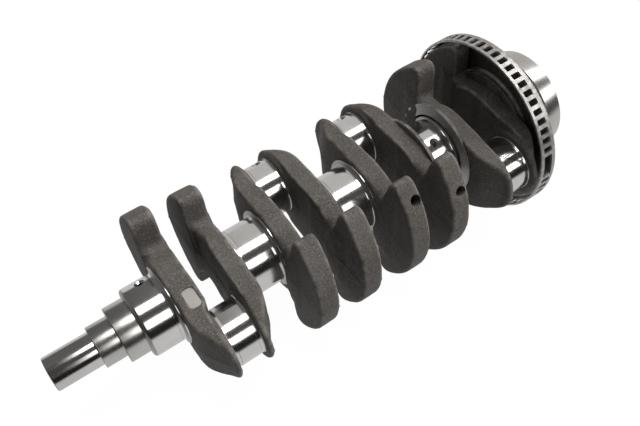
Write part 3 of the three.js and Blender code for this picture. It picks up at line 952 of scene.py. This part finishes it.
def camera():
    """Looks down on the shaft from the pin 1 side, well in front of its middle."""
    azimuth, elevation = math.radians(CAMERA_AZIMUTH), math.radians(CAMERA_ELEVATION)
    roll = math.radians(CAMERA_ROLL)
    flat = math.cos(elevation)
    forward = Vector((flat * math.cos(azimuth), flat * math.sin(azimuth), math.sin(elevation)))
    level = forward.cross(Vector((0, 0, 1))).normalized()
    upright = level.cross(forward)
    right = level * math.cos(roll) + upright * math.sin(roll)
    up = right.cross(forward)
    data = bpy.data.cameras.new("camera")
    data.sensor_width = 36.0
    data.lens = CAMERA_LENS
    data.clip_start = 0.01
    data.clip_end = 50.0
    view = bpy.data.objects.new("camera", data)
    bpy.context.scene.collection.objects.link(view)
    place = (Vector(CAMERA_PLACE) + Vector((NOSE_X, 0, 0))) / 1000.0
    turn = Matrix((right, up, -forward)).transposed()
    view.matrix_world = Matrix.Translation(place) @ turn.to_4x4()
    bpy.context.scene.camera = view


# ---- putting it together ----

END_FACE, SEAT, FORGED = 1, 2, 3  # material slots of a turned piece; 0 is the running surface


def finish_by_surface(piece, materials):
    """Ground running surfaces, turned end faces, satin seats and as-forged rims of one turned piece."""
    mesh = piece.data
    for material in materials:
        mesh.materials.append(material)
    thrust = piece.name.startswith("thrust")
    with_flange = piece.name.startswith("main_journal_5")
    rim_from = FLANGE_FRONT + 2.0
    for polygon in mesh.polygons:
        x = polygon.center.x * 1000.0 - NOSE_X
        radius = 1000.0 * math.hypot(polygon.center.y, polygon.center.z)
        if abs(polygon.normal.x) > 0.35:
            polygon.material_index = END_FACE
        elif NOSE_END + 0.2 < x < MAIN_1_FRONT - 0.2 or x > rim_from:
            polygon.material_index = SEAT
        if thrust and abs(polygon.normal.x) < 0.5:
            polygon.material_index = FORGED
        if with_flange and x < rim_from and radius > MAIN_R + 0.5:
            polygon.material_index = FORGED


def attach(piece, node):
    """Lets a piece stand in for a CAD node and ride on the shaft."""
    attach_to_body(piece, "root")
    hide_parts(node)


forging = forged_steel()
ground = ground_steel("ground_journal", (0.72, 0.71, 0.7), 0.1, 1.0)
turned_seat = ground_steel("turned_seat", (0.6, 0.585, 0.565), 0.2, 2.0)
milled = ground_steel("milled_flat", (0.62, 0.6, 0.56), 0.34, 6.0)
turned_face = ground_steel("turned_face", (0.42, 0.41, 0.4), 0.3, 3.0)

pad = machined_pad()
pad.data.materials.append(milled)
webs = {w: forged_web(w) for w in WEBS}
for web in webs.values():
    web.data.materials.append(forging)

mains = {1: nose(), 5: rear_end()}
collars = [thrust_collar(1), thrust_collar(-1)]
for i in (2, 3, 4):
    mains[i] = journal(f"main_journal_{i}", main_x(i), 0.0, MAIN_R, MAIN_HALF, MAIN_COLLAR_R)
pins = {}
for i in (1, 2, 3, 4):
    pins[i] = journal(f"crankpin_{i}", pin_x(i), pin_side(i) * THROW, PIN_R, PIN_HALF, PIN_COLLAR_R)

for i, (offset, angle) in MAIN_OIL.items():
    cut(mains[i], oil_hole(main_x(i) + offset, 0.0, angle, MAIN_R))
for i, (offset, angle) in PIN_OIL.items():
    cut(pins[i], oil_hole(pin_x(i) + offset, pin_side(i) * THROW, angle, PIN_R))
for k in range(BOLTS):
    cut(mains[5], bolt_hole((k + 0.5) * 360.0 / BOLTS))
for w, (x, angle) in BALANCE_HOLES.items():
    cut(webs[w], balance_hole(x, angle))

turned_pieces = [mains[1], mains[5], *collars, mains[2], mains[3], mains[4], *pins.values()]
for piece in turned_pieces:
    finish_by_surface(piece, (ground, turned_face, turned_seat, forging))
for piece in [pad, *webs.values(), *turned_pieces]:
    attach(piece, "crankshaft")

wheel = sensor_wheel()
wheel.data.materials.append(sheet_steel())
attach(wheel, "sensor_wheel")

black = screw_steel()
for number, angle in enumerate(SCREW_ANGLES, 1):
    screw = wheel_screw(number, angle)
    screw.data.materials.append(black)
    attach(screw, f"sensor_wheel_screw_{number}")

dowel = flange_dowel()
dowel.data.materials.append(turned_seat)
attach(dowel, "flange_dowel")

world_light()
floor()
camera()
bpy.context.scene.view_settings.view_transform = "Standard"
